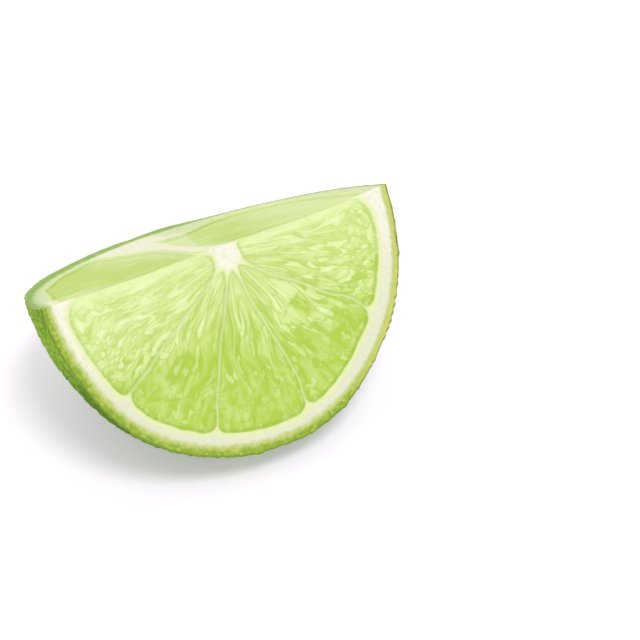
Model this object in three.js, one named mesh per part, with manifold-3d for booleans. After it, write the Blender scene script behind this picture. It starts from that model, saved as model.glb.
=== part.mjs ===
// A wedge of a fresh lime, in millimetres with +Z up.
//
// The fruit was halved across its middle, and the half was split down its core, which leaves a
// quarter. The wedge lies on its rind, on a small flat spot whose centre is the origin. X runs
// along the straight edge where the two cuts meet, the cut across the fruit faces -Y and up, and
// the cut down the core faces +Y and up.
//
// Each piece is first shaped in the fruit's own frame: X across it, Y along its core from the
// middle to the pole, Z out of the cut down the core. Angles go round the core in degrees, from
// 0 at +X through the underside, -Z, to 180 at -X.
import * as THREE from 'three';
import { mergeVertices } from 'three/addons/utils/BufferGeometryUtils.js';
import Module from 'manifold-3d';

const fruit = {
  radius: 26, // at the middle
  halfLength: 30.8, // middle to pole
  roundness: 1.95, // how fast the outline leaves the middle, 2 for an ellipse
  fullness: 1.75, // how fast it closes at the pole, 2 for an ellipse
  turns: 80, // facets round the core
  rings: 26, // facets from middle to pole
};

// Where the rind swells or is flattened, and by how much at the middle of the fruit.
const swells = [
  { angle: 0, height: -0.5, spread: 24 },
  { angle: 74, height: 0.8, spread: 22 },
  { angle: 163, height: -0.9, spread: 24 },
];

const lengthwiseCut = { height: 1.6 }; // of the cut down the core above the fruit's axis

const core = { x: 0.9, z: -0.2, radius: 2.6, halfWidth: 1.7 }; // pith in the middle of the cuts

const rind = { side: 3.1, pole: 6 }; // skin and pith, at the middle and at the pole

const segments = {
  walls: [38, 77, 112, 145], // angles of the membranes between the five segments
  wall: 0.6, // thickness of a membrane
  corner: 2.4, // how far a segment's outer corners are rounded off
  depth: 0.4, // the flesh lies this far below the cut
  steps: 14, // points along an arc
};

const restingSpot = { depth: 0.5, lean: -5.6 }; // lean: degrees steeper than free balance

const cutter = { size: 4 * (fruit.radius + fruit.halfLength) }; // a block wider than the fruit

// How closely the tilt is found: times that the step is halved, and points along the rind.
const search = { halvings: 40, points: 400 };

const touching = 1e-4; // a corner this near to the table lies on it

const wasm = await Module();
wasm.setup();

const radians = THREE.MathUtils.degToRad;

// The angle round the core of a point, from -90 to 270 so that it is unbroken round the underside.
function angleOf(x, z) {
  return THREE.MathUtils.euclideanModulo(THREE.MathUtils.radToDeg(Math.atan2(-z, x)) + 90, 360) - 90;
}

// How much further out the rind stands at an angle and a height along the core.
function swellAt(angle, y) {
  const fade = 1 - (y / fruit.halfLength) ** 2;
  const rise = (swell) => swell.height * Math.exp(-(((angle - swell.angle) / swell.spread) ** 2));
  return fade * swells.map(rise).reduce((sum, height) => sum + height, 0);
}

// Distance of a round profile from the core line: full radius at the middle, nothing at the pole.
function profileAt(y, radius, halfLength) {
  const closing = Math.max(0, 1 - (Math.abs(y) / halfLength) ** fruit.roundness);
  return radius * closing ** (1 / fruit.fullness);
}

function radiusAt(angle, y) {
  const round = profileAt(y, fruit.radius, fruit.halfLength);
  return round * (1 + swellAt(angle, y) / fruit.radius);
}

// A closed geometry as a solid that can be cut. Corners that meet become one, and the empty
// triangles that this leaves on the axis go.
function solidFrom(geometry) {
  geometry.deleteAttribute('normal');
  geometry.deleteAttribute('uv');
  const merged = mergeVertices(geometry);
  const triVerts = [];
  for (let i = 0; i < merged.index.count; i += 3) {
    const [a, b, c] = merged.index.array.slice(i, i + 3);
    if (a !== b && b !== c && c !== a) triVerts.push(a, b, c);
  }
  const vertProperties = merged.attributes.position.array;
  return new wasm.Manifold(
    new wasm.Mesh({ numProp: 3, vertProperties, triVerts: Uint32Array.from(triVerts) }),
  );
}

function geometryFrom(solid) {
  const mesh = solid.getMesh();
  const geometry = new THREE.BufferGeometry();
  geometry.setAttribute('position', new THREE.BufferAttribute(mesh.vertProperties, 3));
  geometry.setIndex(new THREE.BufferAttribute(mesh.triVerts, 1));
  return geometry;
}

// Half of the fruit, from the cut across its middle to the pole.
function makeHalf() {
  const profile = [new THREE.Vector2(0, 0)];
  for (let i = 0; i < fruit.rings; i += 1) {
    const y = fruit.halfLength * Math.sin((i / fruit.rings) * (Math.PI / 2));
    profile.push(new THREE.Vector2(profileAt(y, fruit.radius, fruit.halfLength), y));
  }
  profile.push(new THREE.Vector2(0, fruit.halfLength));
  const geometry = new THREE.LatheGeometry(profile, fruit.turns);
  const position = geometry.attributes.position;
  for (let i = 0; i < position.count; i += 1) {
    const [x, y, z] = [position.getX(i), position.getY(i), position.getZ(i)];
    const grown = 1 + swellAt(angleOf(x, z), y) / fruit.radius;
    position.setXYZ(i, x * grown, y, z * grown);
  }
  return solidFrom(geometry);
}

// A block whose underside is at a height when side is 1, or whose top is there when it is -1.
function makeBlock(height, side) {
  const geometry = new THREE.BoxGeometry(cutter.size, cutter.size, cutter.size);
  geometry.translate(0, 0, height + (side * cutter.size) / 2);
  return solidFrom(geometry);
}

// The outline of one segment on the cut across the fruit, as (x, z). Its sides keep half a
// membrane from the wall angles, its outer corners are rounded, and it stops a membrane below
// the cut down the core.
function segmentOutline(start, end) {
  const point = (angle, distance) =>
    new THREE.Vector2(
      core.x + distance * Math.cos(radians(angle)),
      Math.min(
        core.z - distance * Math.sin(radians(angle)),
        lengthwiseCut.height - segments.wall,
      ),
    );
  const outline = [];
  for (let i = 0; i <= segments.steps; i += 1) {
    const angle = THREE.MathUtils.lerp(start, end, i / segments.steps);
    const reach =
      radiusAt(angle, 0) -
      rind.side -
      core.x * Math.cos(radians(angle)) +
      core.z * Math.sin(radians(angle));
    const inset = THREE.MathUtils.radToDeg(segments.wall / 2 / reach);
    const held = THREE.MathUtils.clamp(angle, start + inset, end - inset);
    const fromWall = radians(Math.min(held - start, end - held)) * reach;
    const bite = Math.max(0, 1 - fromWall / segments.corner);
    outline.push(point(held, reach - segments.corner * (1 - Math.sqrt(1 - bite ** 2))));
  }
  const innerInset = THREE.MathUtils.radToDeg(segments.wall / 2 / core.radius);
  outline.push(point(end - innerInset, core.radius));
  outline.push(point(start + innerInset, core.radius));
  return outline;
}

// A pocket as deep as the flesh lies below the cut across the fruit.
function makeCrossPocket(start, end) {
  const geometry = new THREE.ExtrudeGeometry(new THREE.Shape(segmentOutline(start, end)), {
    depth: 2 * segments.depth,
    bevelEnabled: false,
  });
  geometry.rotateX(Math.PI / 2);
  geometry.translate(0, segments.depth, 0);
  return solidFrom(geometry);
}

// A pocket in the cut down the core, on one side of the pith (1 for +X, -1 for -X): it follows
// the rind on its outer side and the pith on its inner side.
function makeLongPocket(side) {
  const inner = core.x + side * core.halfWidth;
  const outline = [new THREE.Vector2(inner, segments.wall)];
  const halfLength = fruit.halfLength - rind.pole;
  for (let i = 0; i <= segments.steps; i += 1) {
    const turn = (i / segments.steps) * (Math.PI / 2);
    const y = Math.max(segments.wall, halfLength * Math.sin(turn));
    const x = side * profileAt(y, fruit.radius - rind.side, halfLength);
    if (side * (x - inner) > 0) outline.push(new THREE.Vector2(x, y));
  }
  const geometry = new THREE.ExtrudeGeometry(new THREE.Shape(outline), {
    depth: 2 * segments.depth,
    bevelEnabled: false,
  });
  geometry.translate(0, 0, lengthwiseCut.height - segments.depth);
  return solidFrom(geometry);
}

// The centre of mass of a closed geometry, from the tetrahedra on its triangles.
function centreOfMass(geometry) {
  const position = geometry.attributes.position;
  const [a, b, c] = [new THREE.Vector3(), new THREE.Vector3(), new THREE.Vector3()];
  const centre = new THREE.Vector3();
  let volume = 0;
  for (let i = 0; i < geometry.index.count; i += 3) {
    [a, b, c].forEach((corner, k) => corner.fromBufferAttribute(position, geometry.index.getX(i + k)));
    const share = a.dot(b.clone().cross(c)) / 6;
    volume += share;
    centre.addScaledVector(a.add(b).add(c), share / 4);
  }
  return centre.divideScalar(volume);
}

// The tilt, in radians, at which the centre of mass stands over the lowest point of the rind.
function balancedTilt(centre) {
  let [flat, steep] = [0, Math.PI / 2];
  for (let step = 0; step < search.halvings; step += 1) {
    const tilt = (flat + steep) / 2;
    const [cos, sin] = [Math.cos(tilt), Math.sin(tilt)];
    let lowest = { height: 0, forward: 0 };
    for (let i = 0; i <= search.points; i += 1) {
      const y = (fruit.halfLength * i) / search.points;
      const height = -y * sin - radiusAt(90, y) * cos;
      if (height < lowest.height) lowest = { height, forward: y * cos - radiusAt(90, y) * sin };
    }
    const overhang = centre.y * cos + centre.z * sin - lowest.forward;
    if (overhang > 0) flat = tilt;
    else steep = tilt;
  }
  return (flat + steep) / 2;
}

// The wedge in the fruit's frame, with its flesh a little below the pith and the membranes.
function makeWedge() {
  let wedge = makeHalf().subtract(makeBlock(lengthwiseCut.height, 1));
  const walls = [0, ...segments.walls, 180];
  for (let i = 1; i < walls.length; i += 1) {
    wedge = wedge.subtract(makeCrossPocket(walls[i - 1], walls[i]));
  }
  for (const side of [1, -1]) {
    wedge = wedge.subtract(makeLongPocket(side));
  }
  return geometryFrom(wedge);
}

// Tilts the wedge to its rest, cuts the flat spot that it lies on, and puts that spot's centre at
// the origin.
function layDown(geometry) {
  const tilt = balancedTilt(centreOfMass(geometry)) + radians(restingSpot.lean);
  geometry.rotateX(-tilt);
  geometry.computeBoundingBox();
  geometry.translate(0, 0, -geometry.boundingBox.min.z - restingSpot.depth);
  const laid = geometryFrom(solidFrom(geometry).subtract(makeBlock(0, -1)));
  const foot = new THREE.Box3();
  const corner = new THREE.Vector3();
  for (let i = 0; i < laid.attributes.position.count; i += 1) {
    corner.fromBufferAttribute(laid.attributes.position, i);
    if (corner.z < touching) foot.expandByPoint(corner);
  }
  const centre = foot.getCenter(corner);
  laid.translate(-centre.x, -centre.y, 0);
  return laid;
}

const limeGreen = new THREE.MeshStandardMaterial({ color: 0xb9d46a, roughness: 0.4, metalness: 0 });

const wedge = new THREE.Mesh(layDown(makeWedge()), limeGreen);
wedge.name = 'lime_wedge';

const lime = new THREE.Group();
lime.add(wedge);

export default lime;
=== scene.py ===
import itertools

import bpy
import numpy as np
from mathutils import Matrix, Vector


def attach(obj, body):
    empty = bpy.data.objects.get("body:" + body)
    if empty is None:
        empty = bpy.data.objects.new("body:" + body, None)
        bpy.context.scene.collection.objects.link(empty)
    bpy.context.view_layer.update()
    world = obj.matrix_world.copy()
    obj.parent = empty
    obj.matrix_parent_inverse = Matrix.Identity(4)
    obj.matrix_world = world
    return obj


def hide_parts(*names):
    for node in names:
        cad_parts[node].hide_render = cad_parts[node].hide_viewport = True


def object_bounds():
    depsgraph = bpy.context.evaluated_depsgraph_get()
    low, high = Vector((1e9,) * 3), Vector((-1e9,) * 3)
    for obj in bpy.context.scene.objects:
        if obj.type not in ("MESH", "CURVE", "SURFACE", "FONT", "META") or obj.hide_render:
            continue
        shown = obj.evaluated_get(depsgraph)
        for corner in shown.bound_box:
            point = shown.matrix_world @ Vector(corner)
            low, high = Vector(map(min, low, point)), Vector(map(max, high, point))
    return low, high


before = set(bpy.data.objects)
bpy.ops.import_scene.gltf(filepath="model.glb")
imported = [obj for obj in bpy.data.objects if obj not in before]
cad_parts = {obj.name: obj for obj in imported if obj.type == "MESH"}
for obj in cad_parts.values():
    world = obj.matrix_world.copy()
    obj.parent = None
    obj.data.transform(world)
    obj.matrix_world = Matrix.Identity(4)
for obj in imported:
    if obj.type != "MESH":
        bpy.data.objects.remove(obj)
cadLow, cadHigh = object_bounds()
mm = 0.001  # in metres
print("frame loaded:", [round(side / mm, 1) for side in Vector(cadHigh) - Vector(cadLow)], "mm")

# The fruit in its own frame, in mm: X across it, Y along its core from the middle to the pole,
# Z out of the cut down the core. Angles go round the core in degrees, 0 at +X, 90 underneath.
fruit = {
    "radius": 26.0,
    "halfLength": 30.8,
    "roundness": 1.95,
    "fullness": 1.75,
    "swells": [(0, -0.5, 24), (74, 0.8, 22), (163, -0.9, 24)],  # angle, height in mm, spread
    "cutHeight": 1.6,  # of the cut down the core above the fruit's axis
    "tilt": 32.96,  # degrees that the wedge leans back, pole end down
}


def hashOf(cells, seed):
    # a repeatable number from 0 to 1 for each whole-numbered cell: multiply by large primes, add
    # the seed, fold the high bits into the low ones and multiply again
    primes = np.array([374761393, 668265263, 2246822519], np.int64)[: cells.shape[-1]]
    mixed = ((cells.astype(np.int64) * primes).sum(-1) + seed * 3266489917) & 0xFFFFFFFF
    mixed = ((mixed ^ (mixed >> 15)) * 2246822519) & 0xFFFFFFFF
    mixed = ((mixed ^ (mixed >> 13)) * 3266489917) & 0xFFFFFFFF
    return ((mixed ^ (mixed >> 16)) & 0xFFFFFF) / 0xFFFFFF


def noiseAt(points, seed, octaves=2):
    # smooth noise from -1 to 1: random numbers at whole cells, blended between them with an
    # s-curve, then added again at half the size and half the strength
    total = 0
    for octave in range(octaves):
        scaled = points * 2**octave
        cell = np.floor(scaled).astype(np.int64)
        part = scaled - cell
        part = part**3 * (part * (part * 6 - 15) + 10)
        value = 0
        for corner in itertools.product((0, 1), repeat=points.shape[-1]):
            near = np.prod(np.where(corner, part, 1 - part), axis=-1)
            value = value + near * hashOf(cell + np.array(corner), seed + octave)
        total = total + (value * 2 - 1) / 2**octave
    return total / (2 - 0.5 ** (octaves - 1))


def cellsAt(points, seed, spread=0.85, blend=0.3):
    # cells around one scattered point in each unit square or cube: how much farther the second
    # nearest point is than the nearest, and a number from 0 to 1 for the cell that comes to 0.5
    # at its border
    base = np.floor(points).astype(np.int64)
    size = points.shape[-1]
    first = np.full(points.shape[:-1], np.inf)
    second = first.copy()
    tone = np.zeros_like(first)
    for step in itertools.product((-1, 0, 1), repeat=size):
        cell = base + np.array(step)
        scatter = np.stack([hashOf(cell, seed + 11 * axis) for axis in range(size)], -1)
        away = np.linalg.norm(cell + 0.5 + spread * (scatter - 0.5) - points, axis=-1)
        nearer = away < first
        second = np.where(nearer, first, np.minimum(second, away))
        tone = np.where(nearer, hashOf(cell, seed + 101), tone)
        first = np.where(nearer, away, first)
    gap = second - first
    return gap, 0.5 + (tone - 0.5) * ramp(gap, 0, blend)


def ramp(value, low, high):
    # 0 below low, 1 above high, an s-curve between
    share = np.clip((value - low) / (high - low), 0, 1)
    return share * share * (3 - 2 * share)


def bell(value, middle, spread):
    # 1 at the middle, and e to the minus square of the distance in spreads on both sides
    return np.exp(-(((value - middle) / spread) ** 2))


def roundedMin(a, b, corner):
    # the smaller of two distances, with the corner where they meet rounded off
    inCorner = (a < corner) & (b < corner)
    return np.where(inCorner, corner - np.hypot(corner - a, corner - b), np.minimum(a, b))


def angleOf(x, z):
    # the angle round the core, from -90 to 270 degrees, so that it is unbroken underneath
    return (np.degrees(np.arctan2(-z, x)) + 90) % 360 - 90


def radiusAt(angle, y):
    # the rind's distance from the axis: radius times (1 - (y / length) to the roundness) to the
    # 1 / fullness, plus each swell as a bell curve of the angle that fades towards the pole
    along = np.clip(np.abs(y) / fruit["halfLength"], 0, 1)
    profile = (1 - along ** fruit["roundness"]) ** (1 / fruit["fullness"])
    swell = sum(high * bell(angle, at, spread) for at, high, spread in fruit["swells"])
    return profile * (fruit["radius"] + (1 - along**2) * swell)


search = {"halvings": 40, "repeats": 20}  # how often each search is refined


def reachToRind(x, turn):
    # how far a ray goes from the straight edge at x before it meets the rind, when it has turned
    # from straight down (0) to level (90 degrees): the span that holds the rind, halved again
    # and again
    near = np.zeros(np.broadcast(x, turn).shape)
    far = np.full_like(near, 2 * fruit["halfLength"])
    for _ in range(search["halvings"]):
        middle = (near + far) / 2
        y = middle * np.sin(turn)
        z = fruit["cutHeight"] - middle * np.cos(turn)
        inside = (np.hypot(x, z) < radiusAt(angleOf(x, z), y)) & (y < fruit["halfLength"])
        near = np.where(inside, middle, near)
        far = np.where(inside, far, middle)
    return near


def edgeEnds():
    # where the straight edge leaves the rind at -X and at +X: x squared is the rind's radius
    # squared less the cut's height squared, worked out again until it stays put
    ends = []
    for side in (-1, 1):
        x = side * fruit["radius"]
        for _ in range(search["repeats"]):
            reach = radiusAt(angleOf(x, fruit["cutHeight"]), 0)
            x = side * np.sqrt(reach**2 - fruit["cutHeight"] ** 2)
        ends.append(x)
    return ends


left, right = edgeEnds()

# Both cuts, in mm unless it says otherwise.
cut = {
    "core": (0.9, -0.2),  # centre of the pith on the cut across, x and z
    "coreRadius": 1.45,
    "rind": 3.15,  # skin and white pith together
    "recess": 0.3,  # the flesh lies this far below the pith
    "step": 0.3,  # and drops to that over this width
    "sag": 0.2,  # the straight edge has sunk this far
    "sagWhole": 0.14,  # where the shares of the edge to its two ends multiply to this
    "fleshSag": 0.16,  # the edge has sunk further in the flesh
    "fleshDips": [(0.29, 0.1), (0.75, 0.09)],  # middle and spread, as shares of the edge
    "sagBack": 0.25,  # share of the sag that the edge moves back
    "sagFade": (8, 6),  # how fast the sag dies out across each cut, as powers
}

# The cut across the segments, in mm and degrees. Spans are where something begins and is whole.
acrossCut = {
    "walls": (38, 77, 112, 145),  # angles of the membranes between the segments
    "outerEnds": (-3, 183),  # angles where the first and last segments would end
    "wander": (2.5, 6, 40),  # degrees a membrane wanders, and its waves in mm and in degrees
    "wallFlare": 1.0,  # a membrane is this much thicker at the core
    "flareFade": 0.9,
    "flareEnd": 0.2,  # the flare is lost in the membrane when it is this thin
    "rindWaver": (0.2, 2.2),  # of the border between pith and flesh, and its waves
    "corner": 1.8,  # rounding of a segment at the rind
    "edgeCorner": (1, 1.6, 2.8),  # at the straight edge: everywhere, more at the core, at the rind
    "coreCornerSpan": (7, 2),
    "rindCornerSpan": (12, 22),
    "tip": 0.9,  # rounding of a segment at the core
    "coreWaver": (0.35, 17),  # of the core's outline, and its waves in degrees
    "arms": (-0.8, 2.4, 1.5),  # pith along the straight edge: middle, spread, depth
    "edgeOverrun": 0.3,  # away from the arms the flesh runs out over the straight edge
    "sacs": 54,  # juice sacs side by side round the half
    "sacFan": (14, 0.45),  # they keep their count here, and crowd towards the core by this power
    "sacRun": (0.1, 0.00022),  # sacs to a mm outwards, and how fast they get shorter
    "sacRise": 0.14,
    "sacGroove": 0.45,  # share of a sac that slopes down to its border
    "sacTones": (0.4, 0.8),  # height of the lowest sac, and what the highest adds
    "swellSpan": (0.2, 1.2),
    "sway": (0.2, 1.0),  # how far the sacs sway at the core, and what the rind adds
    "swaySpan": (3, 17),
    "swayWave": 6.5,
    "grain": (0.27, 0.12, 0.00034),  # of the colours: aside, outwards and how fast they shorten
    "grainShift": 40,  # degrees between one segment's pattern and the next
    "wash": (0.9, 18, -1),  # the flesh is painted paler towards the straight edge: a painted sheen
    "leftPaintedLight": 0.3,
    "leftPaintedLightSpan": ((4, 13), (12, 3)),  # towards -X, and up to the straight edge
    "paintedLightPatch": (0.2, 4),
    "film": (2.2, 0.4),  # a film of juice blurs the sacs near the straight edge, and adds more painted light there
    "filmSpan": (1, 3.5),  # from the core
    "filmSmooth": 0.6,  # and levels them
    "thinZest": (0.5, 6, 21),  # the zest is thinner towards +X
    "ripeSpan": (9, 20),  # and yellower
    "ridge": (0.13, 0.35),  # a membrane rises between the sacs, and how wide
    "pithRough": (0.05, 0.8, 0.06),  # height, waves, and how far the pith lies below the cut
}

# The cut down the core, in mm. Wavers give how far and over what length, and spans are where
# something begins and is whole, along Y unless it says otherwise.
lengthCut = {
    "strip": (-3.0, -0.6),  # sides of the pith
    "stripAtPole": (-7.8, 0.3),  # and where it widens towards the pole
    "stripWidens": ((12, 27), (12, 22)),  # the span of each side
    "stripTurn": (3.4, 3.6),  # each side turns this far to meet the core at the straight edge
    "stripTurnSpan": ((3, -3), (5, -5)),
    "waver": (0.3, 5),  # of the strip's sides
    "rindWaver": (0.35, 2.8),  # of the border between pith and flesh
    "rindAway": 2.3,  # skin and pith away from the straight edge
    "rindAwaySpan": (8, 18),
    "rindAtPole": 10.0,  # and near the pole
    "pole": (3, 5),  # its middle and spread along X
    "poleSpan": (12, 24),
    "corner": 1.8,  # rounding of a segment at the rind
    "membrane": (0.63, 0.3, 9.1, -0.9),  # x at a y, mm across for each along, that y, least x
    "thirdSpan": ((0.1, -0.3), (-1.8, -0.8)),  # left of the membrane, and along X by the strip
    "thirdGlow": 0.6,  # painted light: paler flesh in the third segment
    "thirdEnd": (-0.3, 0.1),  # into the flesh
    "sacCurve": 0.012,  # sacs bend towards the pole away from the core
    "sacSize": (1.5, 7),  # wide and long
    "sacWarp": (0.8, 0.5),  # how far noise bends them, in sacs, across and along
    "warp": (4, 90),  # waves of that noise, and where it is taken
    "sacTones": (0.35, 0.3),  # the least tone, and what the most adds
    "grain": (0.9, 0.16, 5),  # of the colours: to a mm across and along, and where it is taken
    "poleGlow": (0.5, -4, 8),  # painted light, paler flesh near the pole: most, middle and spread
    "poleGlowSpan": (8, 19),
    "coreGlow": 1.5,  # mm that painted light, paler flesh, reaches beside the strip
    "rightGlow": ((0.8, 3, 18), (0.4, 12, 20)),  # and towards +X: most, and its span along X
    "rightGlowEnd": (-0.4, 0.1),  # into the flesh
    "leftGlow": 0.8,
    "leftGlowSpan": ((11, 19), (8, 1)),  # along -X, and towards the straight edge
    "paintedLightPatch": 0.25,
    "thinZest": (1.3, 6, 21),  # the zest is thinner towards +X: by how much, and its span along X
    "deeper": 1.3,  # the flesh lies lower than on the other cut by this factor
    "wave": (0.1, 9, 1.6),  # height, and size along and across the sacs
    "pithRough": (0.04, 0.05),  # height, and how far the pith lies below the cut
    "lip": 0.34,  # the skin stands this far above the far rim
    "lipWidth": 0.9,  # down the rind
    "lipSpan": ((12, 4), (2, 9)),  # along X and Y
}


def sagAt(x):
    # how far the straight edge has sunk: an even part, and a bell curve in each side's flesh
    share = (x - left) / (right - left)
    even = ramp(share * (1 - share), 0, cut["sagWhole"])
    dips = sum(bell(share, middle, spread) for middle, spread in cut["fleshDips"])
    return cut["sag"] * even + cut["fleshSag"] * dips


def acrossFields(x, z):
    # what lies where on the cut across the segments, from the distance to the rind, to the
    # nearest membrane, to the straight edge and to the core
    coreX, coreZ = cut["core"]
    fromCore = np.hypot(x - coreX, z - coreZ)
    plane = np.stack([x, z], -1)
    angle = angleOf(x - coreX, z - coreZ)
    wander, along, around = acrossCut["wander"]
    bent = angle + wander * noiseAt(np.stack([fromCore / along, angle / around], -1), 3)
    depth = np.maximum(radiusAt(angleOf(x, z), 0 * x) - np.hypot(x, z), 0)
    gaps = np.stack([bent - wall for wall in acrossCut["walls"]])
    toWall = np.radians(np.abs(gaps).min(0)) * fromCore
    flare = np.exp(-(fromCore - cut["coreRadius"]) / acrossCut["flareFade"])
    thick = acrossCut["wallFlare"] * flare - acrossCut["flareEnd"]
    below = fruit["cutHeight"] - z - sagAt(x)
    waver, wave = acrossCut["rindWaver"]
    inner = depth - cut["rind"] + waver * noiseAt(plane / wave, 5)
    flesh = roundedMin(toWall - thick, inner, acrossCut["corner"])
    armMiddle, armSpread, armDepth = acrossCut["arms"]
    margin = armDepth * bell(x - coreX, armMiddle, armSpread) - acrossCut["edgeOverrun"]
    plain, atCore, atRind = acrossCut["edgeCorner"]
    corner = plain + atCore * ramp(fromCore, *acrossCut["coreCornerSpan"])
    corner = corner + atRind * ramp(np.abs(x), *acrossCut["rindCornerSpan"])
    flesh = roundedMin(flesh, below - margin, corner)
    waver, wave = acrossCut["coreWaver"]
    lobes = waver * noiseAt(np.stack([angle / wave, 0 * angle], -1), 7)
    flesh = roundedMin(flesh, fromCore - cut["coreRadius"] - lobes, acrossCut["tip"])

    # sacs lie side by side in each segment, so they fan out from its middle, and they are long
    # at the core and short at the rind
    atCore, added = acrossCut["sway"]
    sway = atCore + added * ramp(fromCore, *acrossCut["swaySpan"])
    waves = [noiseAt(plane / acrossCut["swayWave"], seed) for seed in (13, 17)]
    curled = plane + sway[..., None] * np.stack(waves, -1) - np.array(cut["core"])
    reach = np.hypot(curled[..., 0], curled[..., 1])
    segment = (gaps > 0).sum(0)
    firstEnd, lastEnd = acrossCut["outerEnds"]
    ends = np.array([firstEnd, *acrossCut["walls"], lastEnd])
    middles = (ends[:-1] + ends[1:]) / 2
    bearing = angleOf(curled[..., 0], curled[..., 1]) - middles[segment]
    even, crowding = acrossCut["sacFan"]
    aside = bearing * (reach / even) ** crowding + acrossCut["grainShift"] * segment
    outwards, shorter = acrossCut["sacRun"]
    run = outwards * reach + shorter * reach**3
    gap, tone = cellsAt(np.stack([aside / 180 * acrossCut["sacs"], run], -1), 23)
    grainAside, outwards, shorter = acrossCut["grain"]
    grain = [grainAside * aside, outwards * reach + shorter * reach**3, 0 * reach]

    # painted light: the flesh is painted paler towards the straight edge, more so at -X near it,
    # in soft patches, and paler still under the film of juice
    most, *span = acrossCut["wash"]
    leftwards, upwards = acrossCut["leftPaintedLightSpan"]
    wash = most * ramp(below, *span)
    wash = wash + acrossCut["leftPaintedLight"] * ramp(-x, *leftwards) * ramp(below, *upwards)
    patch, wave = acrossCut["paintedLightPatch"]
    film = ramp(below, *acrossCut["film"]) * ramp(np.abs(x - coreX), *acrossCut["filmSpan"])
    thinner, *span = acrossCut["thinZest"]
    return {
        "depth": depth * (1 + thinner * ramp(x, *span)),  # below the skin, more if the zest thins
        "inside": flesh,  # mm into the flesh, and below 0 in pith, zest and skin
        "wall": toWall * np.sign(gaps).prod(0),  # signed, so that it crosses zero at a membrane
        "sacGap": gap,
        "sacTone": tone,
        "wash": np.clip(wash + patch * noiseAt(plane / wave, 19), 0, 1) + film,
        "ripe": ramp(x, *acrossCut["ripeSpan"]),
        "grain": np.stack(grain, -1),
    }


def lengthFields(x, y):
    # what lies where on the cut down the core, from the distance to the rind, to the sides of
    # the strip of pith and to a membrane beside it, with long sacs from the rind to the core
    coreX = cut["core"][0]
    plane = np.stack([x, y], -1)
    height = fruit["cutHeight"]
    side = np.sqrt(np.maximum(radiusAt(angleOf(x, height + 0 * x), y) ** 2 - height**2, 0))
    across = np.maximum(side - np.abs(x), 0)
    profile = np.clip(1 - (np.abs(x) / fruit["radius"]) ** fruit["fullness"], 0, 1)
    along = np.maximum(fruit["halfLength"] * profile ** (1 / fruit["roundness"]) - y, 0)
    depth = across * along / np.sqrt(across**2 + along**2 + 1e-9)  # 1e-9 avoids 0 / 0 at the rim
    nearPole = bell(x, *lengthCut["pole"]) * ramp(y, *lengthCut["poleSpan"])
    thinning = (lengthCut["rindAway"] - cut["rind"]) * ramp(y, *lengthCut["rindAwaySpan"])
    rind = cut["rind"] + thinning
    rind = rind + (lengthCut["rindAtPole"] - lengthCut["rindAway"]) * nearPole

    sides = []
    for near, far, widens, turns, span in zip(
        lengthCut["strip"],
        lengthCut["stripAtPole"],
        lengthCut["stripWidens"],
        lengthCut["stripTurn"],
        lengthCut["stripTurnSpan"],
    ):
        sides.append(near + (far - near) * ramp(y, *widens) + turns * ramp(y, *span))
    most, wave = lengthCut["waver"]
    waver = most * noiseAt(plane / wave, 33)
    fromStrip = np.maximum(sides[0] - x, x - sides[1]) + waver
    most, wave = lengthCut["rindWaver"]
    inner = depth - rind + most * noiseAt(plane / wave, 31)
    flesh = roundedMin(fromStrip, inner, lengthCut["corner"])

    # a membrane leaves the strip on its right, with a third, narrow segment beside it
    atX, slope, atY, least = lengthCut["membrane"]
    wall = x - np.maximum(atX + slope * (y - atY), least) + waver
    pastWall, pastStrip = lengthCut["thirdSpan"]
    third = ramp(wall, *pastWall) * ramp(x, *pastStrip)

    wave, shift = lengthCut["warp"]
    warp = noiseAt(plane / wave + shift, 37, 3)
    lift = y + lengthCut["sacCurve"] * (x - coreX) ** 2
    (wide, long), (warpWide, warpLong) = lengthCut["sacSize"], lengthCut["sacWarp"]
    sac = np.stack([lift / wide + warpWide * warp, np.abs(x) / long + warpLong * warp], -1)
    _, tone = cellsAt(sac, 41)
    least, added = lengthCut["sacTones"]
    grainAcross, grainAlong, shift = lengthCut["grain"]
    grain = [lift * grainAcross, np.abs(x - coreX) * grainAlong, shift + 0 * x]

    # painted light: the flesh is painted paler near the pole, in the third segment, beside the
    # strip, towards +X, and at -X near the straight edge
    most, middle, spread = lengthCut["poleGlow"]
    bright = most * bell(x, middle, spread) * ramp(y, *lengthCut["poleGlowSpan"])
    bright = bright + lengthCut["thirdGlow"] * third * ramp(flesh, *lengthCut["thirdEnd"])
    bright = bright + np.exp(-np.maximum(fromStrip, 0) / lengthCut["coreGlow"])
    rightGlow = sum(most * ramp(x, *span) for most, *span in lengthCut["rightGlow"])
    bright = bright + rightGlow * ramp(flesh, *lengthCut["rightGlowEnd"])
    leftwards, edgewards = lengthCut["leftGlowSpan"]
    bright = bright + lengthCut["leftGlow"] * ramp(-x, *leftwards) * ramp(y, *edgewards)
    thinner, *span = lengthCut["thinZest"]
    return {
        "depth": depth * (1 + thinner * ramp(x, *span)),
        "inside": flesh,
        "wall": wall,
        "sacTone": least + added * tone,
        "wash": np.clip(bright + lengthCut["paintedLightPatch"] * warp, 0, 1),
        "grain": np.stack(grain, -1),
    }


# How finely the wedge is divided. A loop of points goes down the cut across the fruit, round the
# rind and back over the cut down the core, at each column along X.
mesh = {
    "columns": 322,
    "across": 114,
    "rind": 122,
    "length": 70,
    "middleShare": 0.25,  # how far columns move from the ends to the middle
    "rimFade": 0.4,  # mm over which a cut's relief fades at the rind
    "edgeFade": (0.7, 0.9),  # and at the straight edge, on each cut
    "skinFade": 1.2,  # mm into a cut over which the skin's relief fades
    "sheetMargin": 0.01,  # of the texture that is left free round each face
    "sheetHeights": (0.93, 0.43, 0.48),  # shares of the texture for each face
    "sheetHalf": 0.48,
}

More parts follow.
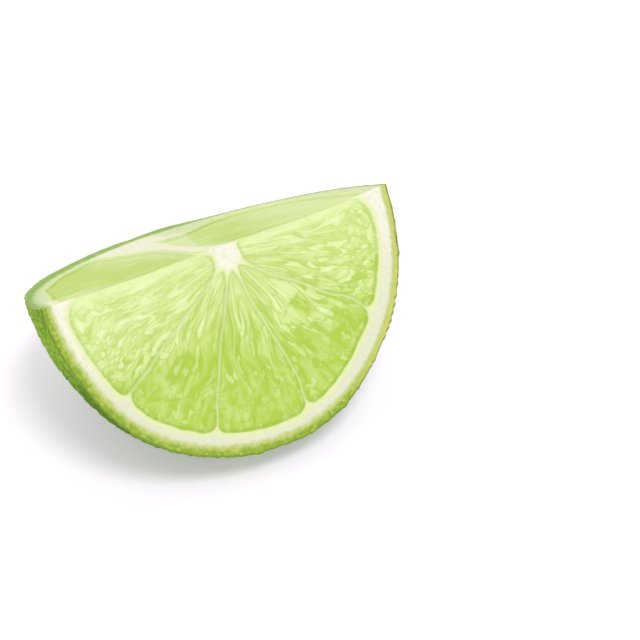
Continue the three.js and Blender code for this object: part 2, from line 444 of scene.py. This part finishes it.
skin = {
    "gland": 1.15,  # mm between oil glands, a little coarser than real so that they show
    "glandRise": 0.18,
    "groove": 0.5,  # share of a gland that slopes down to its border
    "glandTones": (0.5, 0.8),  # height of the lowest gland, and what the highest adds
    "lump": 5.5,
    "lumpRise": 0.16,
    "lumpLevel": 0.6,  # lumps are taken inwards by this share, to stay inside the CAD
    "scar": 2.3,  # radius of the mark that the stem left
    "scarDepth": 0.7,
    "ripeSpan": (150, 171),  # degrees round the core where the skin turns lighter
    "ripePatch": (0.3, 7),
}


def rindRelief(points):
    # a pebbled rind: a bump over each oil gland with a groove round it, on slow lumps, and a
    # dimple where the stem was
    gap, tone = cellsAt(points / skin["gland"], 61)
    lowest, added = skin["glandTones"]
    bump = ramp(gap, 0, skin["groove"]) * (lowest + added * tone)
    lump = noiseAt(points / skin["lump"], 67)
    toPole = np.linalg.norm(points - np.array([0, fruit["halfLength"], 0]), axis=-1)
    dimple = bell(toPole, 0, skin["scar"])
    rise = skin["glandRise"] * (bump - 1) + skin["lumpRise"] * (lump - skin["lumpLevel"])
    rise = rise - skin["scarDepth"] * dimple
    return rise, bump, dimple


def buildWedge():
    # the three faces of the wedge as grids over (column, row), in the fruit's frame and in mm,
    # and the rind again without its relief: points on a plane or on the rind, moved along its
    # normal by their relief
    share = np.linspace(0, 1, mesh["columns"] + 2)[1:-1]
    theta = np.pi * share + mesh["middleShare"] * np.sin(2 * np.pi * share) / 2
    x = ((left + right) / 2 - (right - left) / 2 * np.cos(theta))[:, None]
    turn = np.linspace(0, np.pi / 2, mesh["rind"] + 1)[None]
    reach = reachToRind(x, turn)
    height = fruit["cutHeight"]
    rind = np.stack([x + 0 * reach, reach * np.sin(turn), height - reach * np.cos(turn)], -1)

    normal = np.cross(np.gradient(rind, axis=0), np.gradient(rind, axis=1))
    normal /= np.linalg.norm(normal, axis=-1, keepdims=True) + 1e-12
    normal *= np.sign((normal * rind).sum(-1, keepdims=True))
    rise, bump, dimple = rindRelief(rind)
    push = normal * rise[..., None]
    xSpan, ySpan = lengthCut["lipSpan"]
    lip = lengthCut["lip"] * ramp(x, *xSpan) * ramp(rind[:, -1:, 1], *ySpan)
    push[..., 2] += lip * ramp(reach * (np.pi / 2 - turn), lengthCut["lipWidth"], 0)

    sag = sagAt(x)
    edgeY = cut["sagBack"] * sag
    acrossFade, lengthFade = cut["sagFade"]
    down = np.linspace(0, 1, mesh["across"] + 1)[None]
    across = np.stack(
        [
            x + 0 * down,
            edgeY * (1 - down) ** acrossFade,
            height - sag + (rind[:, :1, 2] - height + sag) * down,
        ],
        -1,
    )
    fields = acrossFields(across[..., 0], across[..., 2])
    toRim = across[..., 2] - rind[:, :1, 2]
    toEdge = across[:, :1, 2] - across[..., 2]
    rimFade, skinFade = mesh["rimFade"], mesh["skinFade"]
    acrossEdge, lengthEdge = mesh["edgeFade"]
    relief = acrossRelief(fields, across[..., [0, 2]])
    across[..., 1] -= relief * ramp(toRim, 0, rimFade) * ramp(toEdge, 0, acrossEdge)
    across += push[:, :1] * ramp(fields["depth"], skinFade, 0)[..., None]

    back = np.linspace(0, 1, mesh["length"] + 1)[None]
    length = np.stack(
        [
            x + 0 * back,
            edgeY + (rind[:, -1:, 1] - edgeY) * back,
            height - sag * (1 - back) ** lengthFade,
        ],
        -1,
    )
    lengthParts = lengthFields(length[..., 0], length[..., 1])
    toRim = rind[:, -1:, 1] - length[..., 1]
    fade = ramp(toRim, 0, rimFade) * ramp(length[..., 1], edgeY, edgeY + lengthEdge)
    length[..., 2] += lengthRelief(lengthParts, length[..., :2]) * fade
    length += push[:, -1:] * ramp(toRim, skinFade, 0)[..., None]
    patch, wave = skin["ripePatch"]
    ripe = ramp(angleOf(rind[..., 0], rind[..., 2]), *skin["ripeSpan"])
    ripe = ripe + patch * noiseAt(rind / wave, 71)
    rindParts = {"gland": bump, "scar": dimple, "ripe": np.clip(ripe, 0, 1)}
    lengthParts = {name: value[:, ::-1] for name, value in lengthParts.items()}
    return (across, fields), (rind + push, rindParts), (length[:, ::-1], lengthParts), rind


def acrossRelief(fields, plane):
    # the flesh lies below the pith, each sac rises in it as a soft pillow, and the membranes
    # stand between them as ridges
    lowest, added = acrossCut["sacTones"]
    sac = ramp(fields["sacGap"], 0, acrossCut["sacGroove"]) * (lowest + added * fields["sacTone"])
    level = 1 - acrossCut["filmSmooth"] * ramp(fields["wash"], 1, 2)
    swollen = ramp(fields["inside"], *acrossCut["swellSpan"]) * level
    flesh = -cut["recess"] + acrossCut["sacRise"] * sac * swollen
    rough, wave, lower = acrossCut["pithRough"]
    pith = rough * noiseAt(plane / wave, 51) - lower
    share = ramp(fields["inside"], 0, cut["step"])
    high, wide = acrossCut["ridge"]
    return share * (flesh + high * bell(fields["wall"], 0, wide)) + (1 - share) * pith


def lengthRelief(fields, plane):
    # smoother than the other cut, because it follows the membranes: long low waves along the sacs
    high, along, across = lengthCut["wave"]
    wave = noiseAt(np.stack([plane[..., 0] / along, plane[..., 1] / across], -1), 53)
    flesh = -cut["recess"] * lengthCut["deeper"] + high * wave
    rough, lower = lengthCut["pithRough"]
    share = ramp(fields["inside"], 0, cut["step"])
    return share * flesh + (1 - share) * (rough * noiseAt(plane, 55) - lower)


def layDown(points, place=(0, 0, 0)):
    # leans the wedge back about X, by the cosine and sine of its tilt, and moves it
    tilt = np.radians(fruit["tilt"])
    x, y, z = np.moveaxis(points, -1, 0)
    turned = [x, y * np.cos(tilt) + z * np.sin(tilt), z * np.cos(tilt) - y * np.sin(tilt)]
    return np.stack(turned, -1) + np.array(place)


faces = buildWedge()
smooth = layDown(np.concatenate([faces[3].reshape(-1, 3), [[left, 0, fruit["cutHeight"]]]]))
low, high = np.array(cadLow) / mm, np.array(cadHigh) / mm
place = (low + high) / 2 - (smooth.min(0) + smooth.max(0)) / 2
place[2] = high[2] - smooth[:, 2].max()  # tops agree, and the rind is cut flat at the bottom
lowest = smooth[:, 2].min() + place[2]
print("placed at", place.round(2), "with the rind down to", lowest.round(2), "mm")


def loopFaces(columns, around):
    # corners of the faces: a quad between each point, the next one in its loop and the two beside
    # them in the next loop, and a fan of triangles at each end round a tip. The two tips come
    # after all the other points.
    j, k = np.meshgrid(np.arange(columns - 1), np.arange(around), indexing="ij")
    ahead = (k + 1) % around
    here, beyond = j * around, (j + 1) * around
    quads = np.stack([here + k, here + ahead, beyond + ahead, beyond + k], -1)
    ring = np.arange(around)
    last, tip = (columns - 1) * around, columns * around
    first = np.stack([(ring + 1) % around, ring, 0 * ring + tip], -1)
    final = np.stack([last + ring, last + (ring + 1) % around, 0 * ring + tip + 1], -1)
    return quads.reshape(-1, 4).tolist() + first.tolist() + final.tolist()


def loopRows(grids):
    # at each place in a loop, the row of its grid, and which of the three grids it is in
    sizes = [grid.shape[1] - 1 for grid in grids]
    rows = np.concatenate([np.arange(size) for size in sizes])
    return rows, np.repeat([0, 1, 2], sizes)


def atCorners(grids, values):
    # a value over each grid at the corners of its faces, in the order the mesh holds them: the
    # quads column by column, then the triangles of each fan
    rows, which = loopRows(grids)
    quads, fans = [], ([], [])
    for region, v in enumerate(values):
        row = rows[which == region]
        quads.append(np.stack([v[:-1, row], v[:-1, row + 1], v[1:, row + 1], v[1:, row]], 2))
        fans[0].append(np.stack([v[0, row + 1], v[0, row], v[0, row]], 1))
        fans[1].append(np.stack([v[-1, row], v[-1, row + 1], v[-1, row]], 1))
    parts = [np.concatenate(quads, 1), *(np.concatenate(fan) for fan in fans)]
    flat = np.concatenate([part.reshape(-1, *values[0].shape[2:]) for part in parts])
    return flat.astype(np.float32).ravel()


# what the materials read at the corners of the faces
shaderFields = ("depth", "inside", "wall", "sacTone", "wash", "ripe", "grain", "gland", "scar")


def addFields(data, grids, fields):
    # each field on the corners of the faces, so that it can jump at a border, and 0 on the grids
    # that don't have it
    for name in shaderFields:
        isVector = name == "grain"
        blank = [np.zeros(grid.shape[:2] + (3,) * isVector) for grid in grids]
        values = [field.get(name, none) for field, none in zip(fields, blank)]
        kind, slot = ("FLOAT_VECTOR", "vector") if isVector else ("FLOAT", "value")
        attribute = data.attributes.new(name, kind, "CORNER")
        attribute.data.foreach_set(slot, atCorners(grids, values))


def addTexture(data, grids):
    # each face of the wedge has its own area of the texture: the cut across above, the two
    # others side by side below, all as shares of the straight edge's length
    across, rind, length = grids
    span = right - left
    margin, half = mesh["sheetMargin"], mesh["sheetHalf"]
    acrossHigh, rindHigh, lengthHigh = mesh["sheetHeights"]
    column = np.linspace(0, 1, rind.shape[0])[:, None] + np.zeros(rind.shape[1])
    row = np.linspace(0, 1, rind.shape[1]) + np.zeros((rind.shape[0], 1))
    acrossX, lengthX = [(grid[..., 0] - left) / span for grid in (across, length)]
    acrossDown = (fruit["cutHeight"] - across[..., 2]) / span
    lengthBack = length[..., 1] / span
    maps = [
        np.stack([margin + (1 - 2 * margin) * acrossX, 1 - margin - acrossHigh * acrossDown], -1),
        np.stack([0.5 + margin + half * column, margin + rindHigh * row], -1),
        np.stack([margin + half * lengthX, margin + lengthHigh * lengthBack], -1),
    ]
    data.uv_layers.new(name="OFBake").data.foreach_set("uv", atCorners(grids, maps))


def sharpenRims(data, grids, around):
    # the rind meets both cuts in a sharp edge: both ends at the place in their loops where one
    # grid gives way to the next
    ends = np.zeros((len(data.edges), 2), np.int32)
    data.edges.foreach_get("vertices", ends.ravel())
    spot = ends % around
    borders = np.cumsum([grid.shape[1] - 1 for grid in grids])[:2]
    sharp = np.isin(spot[:, 0], borders) & (spot[:, 0] == spot[:, 1])
    sharp &= (ends < len(data.vertices) - 2).all(1)  # not the tips
    data.attributes.new("sharp_edge", "BOOLEAN", "EDGE").data.foreach_set("value", sharp)


def wedgeMesh(name):
    # joins the three grids: neighbours share the points on their common border, so that each
    # column is one loop. Points are held inside the CAD box, which cuts the rind flat where it
    # rests.
    grids = [grid for grid, _ in faces[:3]]
    loops = np.concatenate([grid[:, :-1] for grid in grids], 1)
    columns, around = loops.shape[:2]
    tips = loops[[0, -1]].mean(1)
    points = layDown(np.concatenate([loops.reshape(-1, 3), tips]), place)
    data = bpy.data.meshes.new(name)
    data.from_pydata(np.clip(points, low, high) * mm, [], loopFaces(columns, around))
    addFields(data, grids, [field for _, field in faces[:3]])
    addTexture(data, grids)
    sharpenRims(data, grids, around)
    which = np.tile(loopRows(grids)[1], columns + 1)
    data.polygons.foreach_set("material_index", which.astype(np.int32))
    data.polygons.foreach_set("use_smooth", np.ones(len(data.polygons), bool))
    data.validate()
    data.update()
    piece = bpy.data.objects.new(name, data)
    bpy.context.scene.collection.objects.link(piece)
    return piece


lime = wedgeMesh("lime")
print("wedge built:", len(lime.data.polygons), "faces")


def colour(hexCode):
    # an sRGB hex colour as the linear red, green, blue and alpha that shaders take
    parts = [int(hexCode[i : i + 2], 16) / 255 for i in (0, 2, 4)]
    return tuple(c / 12.92 if c <= 0.04045 else ((c + 0.055) / 1.055) ** 2.4 for c in parts) + (1,)


def addNode(tree, kind, inputs=None, **settings):
    # adds a node with its settings; an input is a value, another node, or (node, output name)
    node = tree.nodes.new(kind)
    for name, value in settings.items():
        setattr(node, name, value)
    for key, value in (inputs or {}).items():
        output = None
        if isinstance(value, tuple) and isinstance(value[0], bpy.types.Node):
            value, output = value
        if isinstance(value, bpy.types.Node):
            shown = [socket for socket in value.outputs if socket.enabled]
            tree.links.new(value.outputs[output] if output else shown[0], node.inputs[key])
        else:
            node.inputs[key].default_value = value
    return node


def newMaterial(name):
    # a material with an empty node tree
    material = bpy.data.materials.new(name)
    material.use_nodes = True
    material.node_tree.nodes.clear()
    return material, material.node_tree


def placeInMm(tree):
    # where a point lies on the piece: its place in metres times the mm in a metre
    place = (addNode(tree, "ShaderNodeTexCoord"), "Object")
    inputs = {0: place, 1: (1 / mm, 1 / mm, 1 / mm)}
    return addNode(tree, "ShaderNodeVectorMath", inputs, operation="MULTIPLY")


def layered(tree, base, layers):
    # lays colours over a base one after the other. Each layer gives its field, the limits where
    # its share is nothing and where it is most, that most, and the colour; the share follows an
    # s-curve between the limits.
    for value, none, full, most, over in layers:
        limits = {"Value": value, "From Min": none, "From Max": full, "To Max": most}
        share = addNode(tree, "ShaderNodeMapRange", limits, interpolation_type="SMOOTHSTEP")
        over = colour(over) if isinstance(over, str) else over
        base = addNode(tree, "ShaderNodeMix", {0: share, 6: base, 7: over}, data_type="RGBA")
    return base


fleshLook = {
    "juice": "B0CE48",  # clear juice, deepest
    "flesh": "CBE080",
    "pale": "E0F0AC",  # sac walls and dry tips
    "glint": "F0F9D0",
    # colour of the painted light, a pale painted sheen on the flesh
    "wash": "E2F1B0",
    "wall": "E6F2BC",
    "pith": "DFE3C6",
    # pith painted brighter, where the painted light is strong
    "pithPaintedLit": "EFEFDB",
    "pithNearFlesh": "E0EAA8",
    "fleck": "DAD3C4",
    "zestPale": "B8C85C",
    "zest": "98B434",
    "zestDark": "7EA42A",
    "zestYellow": "D0C860",
    "zestRipe": "E2DA80",
    "rim": "6E8C32",
    "zestDepth": 1.5,  # mm
    "zestFade": (0.7, -0.1, -0.65),  # mm past that where it is gone, pale and whole
    "zestWaver": 0.35,  # mm
    "zestGrain": 0.5,  # mm between grains, coarser than real so that they show
    "speck": 1.6,  # specks to a mm in pith and zest
    "patch": 0.8,  # soft patches to a unit of the grain
    "dash": 1.1,  # pale dashes to a unit of the grain
    "paintedLightLift": (0.1, -0.04),  # how many more of both are pale where the painted light is strong
    "contrast": 1.0,
    "borderShade": 0.35,  # how dark a segment is along its border
    "membrane": (0.24, 0.05),  # mm from its middle where it begins and is whole
    "pithStart": (0.2, 0.02),  # mm into the flesh, likewise
    "paintedLightShare": 0.4,
    "rimDepth": 0.45,  # mm of dark green under the skin
    "roughness": 0.22,
    "pithRoughness": 0.5,
    "specular": 0.35,
    "refraction": 1.36,  # of juice
    "coat": 0.2,
    "coatRoughness": 0.08,
    "coatRefraction": 1.33,  # of water
    "depthOfGlow": 0.8,  # mm that light spreads inside, and how much of it does
    "glowShare": 0.35,
    "glowTint": (1.0, 0.9, 0.3),
    "ripple": (0.5, 0.5),  # strength and height in mm
    "beadRipple": (0.05, 0.3),
}

# The cut down the core follows the membranes, so it is smoother, paler and less wet; its colours
# are also painted lighter, to make up for the less light that this cut gets.
paintedLighterFilmLook = fleshLook | {
    "juice": "C6E06C",
    "flesh": "D0E884",
    "pale": "DCF09E",
    "glint": "E6F4B4",
    "wash": "ECFAB8",
    "pith": "DDEAB2",
    "pithPaintedLit": "FAFDD8",
    "pithNearFlesh": "E0F0A8",
    "zestPale": "C8DE94",
    "zest": "AACB70",
    "zestDark": "88B04A",
    "rim": "96B86C",
    "fleck": "E8F0C8",
    "zestDepth": 1.6,
    "contrast": 0.6,
    "borderShade": 0.08,
    "paintedLightShare": 0.6,
    "rimDepth": 1.3,
    "roughness": 0.6,
    "pithRoughness": 0.65,
    "specular": 0.12,
    "coat": 0.0,
}


def makeFlesh(name, look):
    # Fresh lime flesh cut with a knife: wet, slightly see-through juice sacs in pale green with
    # clear darker ones between, thin pale membranes, dull white pith and grainy green zest.
    material, tree = newMaterial(name)
    field = {
        part: (addNode(tree, "ShaderNodeAttribute", attribute_name=part), "Fac")
        for part in ("depth", "inside", "wall", "sacTone", "wash", "ripe")
    }
    grain = (addNode(tree, "ShaderNodeAttribute", attribute_name="grain"), "Vector")
    inMm = placeInMm(tree)

    # soft patches and smaller dashes, both drawn out along the sacs and more of them pale where
    # the painted light is strong; the brightest dashes are painted glints
    soft = {"Vector": grain, "Scale": look["patch"], "Detail": 1.5, "Distortion": 0.6}
    patch = addNode(tree, "ShaderNodeTexNoise", soft)
    crisp = {"Scale": look["dash"], "Detail": 1.0, "Distortion": 0.3}
    dash = addNode(tree, "ShaderNodeTexNoise", soft | crisp)
    times, plus = look["paintedLightLift"]
    liftInputs = {0: field["wash"], 1: times, 2: plus}
    lift = addNode(tree, "ShaderNodeMath", liftInputs, operation="MULTIPLY_ADD")
    patches = addNode(tree, "ShaderNodeMath", {0: patch, 1: lift}, operation="ADD")
    dashes = addNode(tree, "ShaderNodeMath", {0: dash, 1: lift}, operation="ADD")
    strong = look["contrast"]
    flesh = layered(
        tree,
        colour(look["flesh"]),
        [
            (patches, 0.5, 0.4, 0.9 * strong, look["juice"]),
            (patches, 0.54, 0.64, 0.6 * strong, look["pale"]),
            (field["sacTone"], 0.5, 0.9, 0.3, look["pale"]),
            (field["sacTone"], 0.5, 0.1, 0.4, look["juice"]),
            (dashes, 0.48, 0.55, 0.65 * strong, look["juice"]),
            (dashes, 0.56, 0.61, 0.85 * strong, look["pale"]),
            (dashes, 0.68, 0.76, 0.6 * strong, look["glint"]),
            (field["inside"], 1.1, 0.2, look["borderShade"], look["juice"]),
            # painted shade and light: deeper juice where the painted light is weak, the pale
            # painted sheen where it is strong
            (field["wash"], 0.4, 0, 0.5, look["juice"]),
            (field["wash"], 0, 1, look["paintedLightShare"], look["wash"]),
            (field["wash"], 1, 2, 0.8, look["wash"]),
        ],
    )
    specks = {"Vector": inMm, "Scale": look["speck"], "Detail": 3.0}
    speck = (addNode(tree, "ShaderNodeTexNoise", specks), "Fac")
    pith = layered(
        tree,
        colour(look["pith"]),
        [
            # painted light: the pith is painted brighter where the painted light is strong
            (field["wash"], 0, 0.9, 1, look["pithPaintedLit"]),
            (speck, 0.5, 0.68, 0.4, look["fleck"]),
            (field["inside"], -0.75, -0.05, 0.8, look["pithNearFlesh"]),
        ],
    )
    beads = {"Vector": inMm, "Scale": 1 / look["zestGrain"]}
    bead = addNode(tree, "ShaderNodeTexVoronoi", beads, feature="SMOOTH_F1")
    beadTone = addNode(tree, "ShaderNodeSeparateColor", {0: (bead, "Color")})
    zest = layered(
        tree,
        colour(look["zest"]),
        [
            ((beadTone, "Red"), 0.4, 0.8, 0.7, look["zestPale"]),
            (speck, 0.56, 0.66, 0.7, look["zestYellow"]),
            ((bead, "Distance"), 0.35, 0.6, 0.65, look["zestDark"]),
            (field["ripe"], 0, 1, 0.6, look["zestRipe"]),
        ],
    )

    # zest and pith meet in a wavering border, and one field after the other is laid on the flesh
    waver = look["zestWaver"]
    waverLimits = {
        "Value": speck,
        "From Min": 0.2,
        "From Max": 0.8,
        "To Min": -waver,
        "To Max": waver,
    }
    sway = addNode(tree, "ShaderNodeMapRange", waverLimits)
    wavyDepth = addNode(tree, "ShaderNodeMath", {0: sway, 1: field["depth"]}, operation="ADD")
    toWall = addNode(tree, "ShaderNodeMath", {0: field["wall"]}, operation="ABSOLUTE")
    zestEnd, rimDepth = look["zestDepth"], look["rimDepth"]
    gone, pale, whole = [zestEnd + fade for fade in look["zestFade"]]
    cutColour = layered(
        tree,
        flesh,
        [
            (toWall, *look["membrane"], 0.5, look["wall"]),
            (field["inside"], *look["pithStart"], 1, pith),
            (wavyDepth, gone, pale, 0.85, look["zestPale"]),
            (wavyDepth, zestEnd, whole, 1, zest),
            (field["depth"], rimDepth, rimDepth / 3, 0.85, look["rim"]),
        ],
    )
    roughLimits = {
        "Value": field["inside"],
        "From Max": 0.3,
        "To Min": look["pithRoughness"],
        "To Max": look["roughness"],
    }
    rough = addNode(tree, "ShaderNodeMapRange", roughLimits)
    fleshLimits = {"Value": field["inside"], "From Min": 0.2, "From Max": 0.55}
    inFlesh = addNode(tree, "ShaderNodeMapRange", fleshLimits)
    both = addNode(tree, "ShaderNodeMath", {0: patch, 1: dash}, operation="ADD")
    ripple = addNode(tree, "ShaderNodeMath", {0: both, 1: inFlesh}, operation="MULTIPLY")
    strength, high = look["ripple"]
    swell = {"Height": ripple, "Strength": strength, "Distance": high * mm}
    bump = addNode(tree, "ShaderNodeBump", swell)
    strength, high = look["beadRipple"]
    height = {"Height": (bead, "Distance"), "Strength": strength, "Distance": high * mm}
    shader = addNode(
        tree,
        "ShaderNodeBsdfPrincipled",
        {
            "Base Color": cutColour,
            "Roughness": rough,
            "IOR": look["refraction"],
            "Specular IOR Level": look["specular"],
            "Normal": addNode(tree, "ShaderNodeBump", height | {"Normal": bump}),
            "Subsurface Weight": look["glowShare"],
            "Subsurface Radius": look["glowTint"],
            "Subsurface Scale": look["depthOfGlow"] * mm,
            "Coat Weight": look["coat"],
            "Coat Roughness": look["coatRoughness"],
            "Coat IOR": look["coatRefraction"],
        },
    )
    addNode(tree, "ShaderNodeOutputMaterial", {"Surface": shader})
    return material


skinLook = {
    "green": "5C8A10",
    "deep": "447206",
    "light": "9AC63A",
    # the pale dot painted on the glands' tops as a glint, also used at the pores
    "gland": "A4C644",
    "scar": "A79A5E",
    "mottle": 0.16,  # patches of dark and light green to a mm
    "roughness": 0.5,
    "specular": 0.03,
    "refraction": 1.4,  # of wax
    "pore": 0.55,  # mm between the finest pores, coarser than real so that they show
    "poreDents": (0.6, 0.3),  # strength and depth in mm
}


def makeSkin():
    # Lime skin: waxy and dark green, mottled with lighter green, with painted shade in the grooves
    # round each oil gland, a painted glint as a pale dot on each gland's top, and fine pores that
    # break up its soft gloss.
    look = skinLook
    material, tree = newMaterial("waxyLimeSkin")
    gland, scar, ripe = [
        (addNode(tree, "ShaderNodeAttribute", attribute_name=part), "Fac")
        for part in ("gland", "scar", "ripe")
    ]
    inMm = placeInMm(tree)
    patches = {"Vector": inMm, "Scale": look["mottle"], "Detail": 4.0}
    mottle = (addNode(tree, "ShaderNodeTexNoise", patches), "Fac")
    pores = addNode(tree, "ShaderNodeTexVoronoi", {"Vector": inMm, "Scale": 1 / look["pore"]})
    tone = layered(
        tree,
        colour(look["green"]),
        [
            (mottle, 0.4, 0.62, 1, look["deep"]),
            (mottle, 0.44, 0.3, 0.6, look["light"]),
            (ripe, 0, 1, 0.8, look["light"]),
            # painted shade in the grooves round each oil gland, and a painted glint on the tops of
            # the highest glands
            (gland, 0.45, 0.05, 0.5, look["deep"]),
            (gland, 0.7, 1.3, 0.5, look["gland"]),
            ((pores, "Distance"), 0.2, 0.05, 0.4, look["gland"]),
            (scar, 0.35, 0.8, 0.9, look["scar"]),
        ],
    )
    strength, deep = look["poreDents"]
    dents = {"Height": (pores, "Distance"), "Strength": strength, "Distance": deep * mm}
    shader = addNode(
        tree,
        "ShaderNodeBsdfPrincipled",
        {
            "Base Color": tone,
            "Roughness": look["roughness"],
            "IOR": look["refraction"],
            "Specular IOR Level": look["specular"],
            "Normal": addNode(tree, "ShaderNodeBump", dents),
        },
    )
    addNode(tree, "ShaderNodeOutputMaterial", {"Surface": shader})
    return material


lime.data.materials.append(makeFlesh("wetCutLime", fleshLook))
lime.data.materials.append(makeSkin())
lime.data.materials.append(makeFlesh("smoothCutLimePaintedLighter", paintedLighterFilmLook))
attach(lime, "root")
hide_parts("lime_wedge")
print("materials made")

# A sheet of white acrylic lit a little from below, and soft light from above and in front.
studio = {
    "floor": "F8F0FC",
    "floorSize": 3.0,  # metres
    "floorDrop": 0.05,  # mm below the foot of the wedge, so that the two never share a plane
    "floorGlow": 0.28,
    "glow": "FCF6FF",
    "floorRoughness": 0.9,
    "floorSpecular": 0.1,
    "room": 0.7,
    "sun": (1.15, 18, (-0.05, -0.45, 0.88)),  # W/m2, degrees wide, and where it comes from
}


def makeFloor():
    # a square of white acrylic under the wedge, matt, with an even glow of its own
    half = studio["floorSize"] / 2
    level = -studio["floorDrop"] * mm
    data = bpy.data.meshes.new("floor")
    corners = [(-half, -half), (half, -half), (half, half), (-half, half)]
    data.from_pydata([(x, y, level) for x, y in corners], [], [(0, 1, 2, 3)])
    floor = bpy.data.objects.new("floor", data)
    bpy.context.scene.collection.objects.link(floor)
    material, tree = newMaterial("litWhiteAcrylic")
    shader = addNode(
        tree,
        "ShaderNodeBsdfPrincipled",
        {
            "Base Color": colour(studio["floor"]),
            "Roughness": studio["floorRoughness"],
            "Specular IOR Level": studio["floorSpecular"],
            "Emission Color": colour(studio["glow"]),
            "Emission Strength": studio["floorGlow"],
        },
    )
    addNode(tree, "ShaderNodeOutputMaterial", {"Surface": shader})
    data.materials.append(material)


def makeLights():
    # an even white room, and one soft sun for the shading and the shadow
    world = bpy.data.worlds.new("room")
    bpy.context.scene.world = world
    world.use_nodes = True
    background = world.node_tree.nodes["Background"]
    background.inputs["Color"].default_value = (1, 1, 1, 1)
    background.inputs["Strength"].default_value = studio["room"]
    strength, width, direction = studio["sun"]
    lamp = bpy.data.lights.new("softSun", "SUN")
    lamp.energy = strength
    lamp.angle = np.radians(width)
    light = bpy.data.objects.new("softSun", lamp)
    light.rotation_euler = (-Vector(direction)).to_track_quat("-Z", "Y").to_euler()
    bpy.context.scene.collection.objects.link(light)


makeFloor()
makeLights()
bpy.context.scene.view_settings.view_transform = "Standard"

view = {
    "azimuth": -28.5,  # degrees, from the front towards -X
    "elevation": 38.5,
    "roll": 0.4,
    "distance": 300,  # mm from the core on the cut across the fruit
    "lens": 131.7,  # mm
    "aimRight": 11.5,  # mm from the core to the point that the camera looks at
    "aimDown": 8.53,
}


def makeCamera():
    # stands back from the core by the distance, at the azimuth and elevation, and turns towards
    # a point beside the core
    azimuth, elevation = np.radians(view["azimuth"]), np.radians(view["elevation"])
    side = Vector((np.cos(azimuth), np.sin(azimuth), 0))
    level = Vector((np.sin(azimuth), -np.cos(azimuth), 0))
    back = level * np.cos(elevation) + Vector((0, 0, np.sin(elevation)))
    up = back.cross(side)
    core = Vector(layDown(np.array([cut["core"][0], 0, cut["core"][1]]), place) * mm)
    aim = core + side * view["aimRight"] * mm - up * view["aimDown"] * mm
    data = bpy.data.cameras.new("camera")
    data.lens = view["lens"]
    camera = bpy.data.objects.new("camera", data)
    camera.location = core + back * view["distance"] * mm
    looking = (aim - camera.location).to_track_quat("-Z", "Y").to_matrix()
    turn = looking @ Matrix.Rotation(np.radians(view["roll"]), 3, "Z")
    camera.rotation_euler = turn.to_euler()
    bpy.context.scene.collection.objects.link(camera)
    bpy.context.scene.camera = camera


makeCamera()
print("studio ready")
